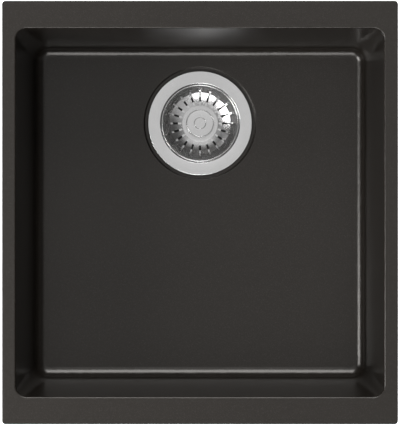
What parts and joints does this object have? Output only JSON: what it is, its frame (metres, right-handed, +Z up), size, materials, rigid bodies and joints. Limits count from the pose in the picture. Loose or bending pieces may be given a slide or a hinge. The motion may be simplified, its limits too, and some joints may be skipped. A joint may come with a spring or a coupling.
{
  "type": "kitchen sink",
  "caption": "Square single-bowl undermount kitchen sink in dark composite, with a lift-out slotted basket strainer at the back of its floor and swivelling fixing tabs under its rim.",
  "frame": {"origin": "centre of the bowl's square opening, in the plane of the rim's top face that seats under the worktop", "axes": "+Z up out of the bowl, +Y to the back, where the waste lies, +X to the right"},
  "size_m": [0.43, 0.46, 0.288],
  "materials": {
    "composite": "matt moulded quartz composite with a fine speckle, a little smoother inside the bowl",
    "stainless": "satin stainless steel",
    "zinc_steel": "bright zinc plated steel",
    "brass": "machined brass",
    "rubber": "matt black rubber",
    "waste_plastic": "moulded white polypropylene"
  },
  "bodies": {
    "root": {"sink_bowl": "composite", "rim_inserts": "brass", "tab_screws": "zinc_steel", "tab_washers": "zinc_steel", "strainer_cup": "stainless", "cup_gasket": "rubber", "body_gasket": "rubber", "waste_body": "waste_plastic", "body_nut": "brass", "centre_screw": "stainless", "screw_washer": "rubber"},
    "stem": {"basket_stem": "stainless", "stem_ring": "rubber"},
    "basket": {"basket": "stainless", "basket_knob": "stainless", "seal_washer": "stainless", "basket_seal": "rubber", "seal_nut": "brass"},
    "tab_back_left": {"fixing_tab_back_left": "zinc_steel"},
    "tab_back_right": {"fixing_tab_back_right": "zinc_steel"},
    "tab_front_left": {"fixing_tab_front_left": "zinc_steel"},
    "tab_front_right": {"fixing_tab_front_right": "zinc_steel"}
  },
  "joints": [
    {"name": "basket_lift", "type": "slide", "parent": "root", "child": "stem", "axis": [0, 0, 1], "range_m": [0, 0.255]},
    {"name": "basket_turn", "type": "hinge", "parent": "stem", "child": "basket", "pos_m": [0, 0.1, -0.2218], "axis": [0, 0, 1], "continuous": true},
    {"name": "tab_back_left_swing", "type": "hinge", "parent": "root", "child": "tab_back_left", "pos_m": [-0.19, 0.2205, -0.01345], "axis": [0, 0, 1], "range_deg": [0, 180]},
    {"name": "tab_back_right_swing", "type": "hinge", "parent": "root", "child": "tab_back_right", "pos_m": [0.19, 0.2205, -0.01345], "axis": [0, 0, -1], "range_deg": [0, 180]},
    {"name": "tab_front_left_swing", "type": "hinge", "parent": "root", "child": "tab_front_left", "pos_m": [-0.19, -0.2205, -0.01345], "axis": [0, 0, -1], "range_deg": [0, 180]},
    {"name": "tab_front_right_swing", "type": "hinge", "parent": "root", "child": "tab_front_right", "pos_m": [0.19, -0.2205, -0.01345], "axis": [0, 0, 1], "range_deg": [0, 180]}
  ]
}
